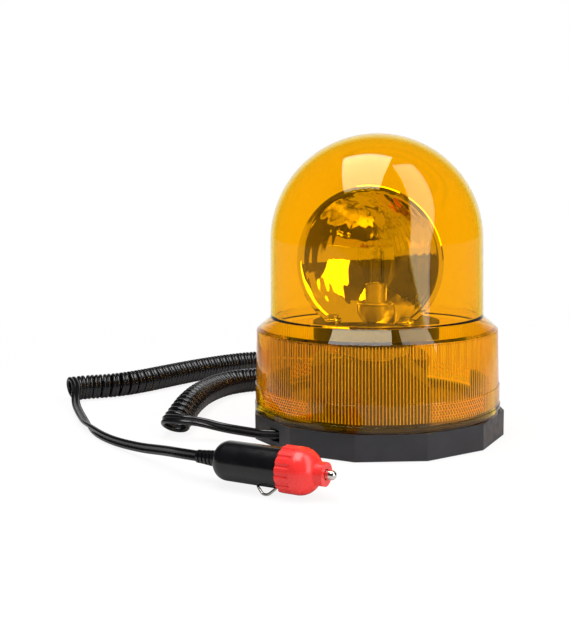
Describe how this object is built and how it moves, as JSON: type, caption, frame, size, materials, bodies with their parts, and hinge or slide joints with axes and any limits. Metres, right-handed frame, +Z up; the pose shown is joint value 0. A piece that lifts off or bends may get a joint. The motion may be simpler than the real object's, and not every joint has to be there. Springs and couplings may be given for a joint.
{
  "type": "magnetic flashing beacon",
  "caption": "Rotating-mirror warning beacon: amber domed lens on a twelve-sided magnet base, with a curly cord and a 12 V socket plug.",
  "frame": {"origin": "on the beacon's axis, on the surface that the magnet pad stands on", "axes": "+Z up along the beacon's axis; -Y is the side seen in the picture; +X to the right in the picture"},
  "size_m": [0.2602, 0.3067, 0.1573],
  "materials": {
    "base_plastic": "satin",
    "pad_rubber": "matte",
    "magnet": "matte",
    "plated_steel": "satin",
    "housing_plastic": "satin",
    "motor_steel": "satin",
    "holder_metal": "satin",
    "brass": "satin",
    "lamp_glass": "gloss",
    "filament": "satin",
    "wire_cover": "satin",
    "cord_cover": "gloss",
    "plug_black": "gloss",
    "cap_red": "gloss",
    "nickel": "polished",
    "lens_amber": "gloss",
    "turntable_plastic": "satin",
    "gear_nylon": "satin",
    "mirror_finish": "polished",
    "fuse_glass": "gloss"
  },
  "bodies": {
    "base": {"base_housing": "base_plastic", "base_pad": "pad_rubber", "ring_magnet": "magnet", "magnet_plate": "plated_steel", "magnet_screws": "plated_steel", "lens_gasket": "pad_rubber", "drive_housing": "housing_plastic", "housing_screws": "plated_steel", "motor_can": "motor_steel", "motor_end_cap": "housing_plastic", "lamp_holder": "holder_metal", "lamp_contact": "brass", "lamp_cap": "holder_metal", "lamp_glass": "lamp_glass", "lamp_filament": "filament", "hub_clip": "plated_steel", "cord_clamp": "housing_plastic", "supply_wires": "wire_cover", "cord_base_lead": "cord_cover", "curly_cord": "cord_cover", "cord_plug_lead": "cord_cover", "plug_relief": "plug_black", "plug_body": "plug_black", "plug_cap": "cap_red", "plug_side_contacts": "nickel", "plug_spring": "plated_steel"},
    "lens": {"lens": "lens_amber"},
    "turntable": {"turntable": "turntable_plastic", "ring_gear": "gear_nylon", "bearing_bush": "brass", "reflector": "mirror_finish", "reflector_screws": "plated_steel"},
    "pinion": {"motor_pinion": "brass", "motor_shaft": "plated_steel"},
    "plug_pin": {"plug_pin": "nickel", "plug_fuse": "fuse_glass"}
  },
  "joints": [
    {"name": "reflector_spin", "type": "hinge", "parent": "base", "child": "turntable", "pos_m": [0, 0, 0.0595], "axis": [0, 0, 1], "continuous": true},
    {"name": "pinion_spin", "type": "hinge", "parent": "base", "child": "pinion", "pos_m": [-0.021, 0, 0.043], "axis": [0, 0, 1], "continuous": true},
    {"name": "lens_lift", "type": "slide", "parent": "base", "child": "lens", "axis": [0, 0, 1], "range_m": [0, 0.13]},
    {"name": "plug_pin_press", "type": "slide", "parent": "base", "child": "plug_pin", "axis": [-0.9157, 0.4019, 0], "range_m": [0, 0.0025], "stiffness_N_per_m": 1200, "springref_m": -0.001, "deforming": ["plug_spring"]}
  ],
  "couplings": [
    {"joint": "pinion_spin", "follows": "reflector_spin", "ratio": -4.2}
  ]
}
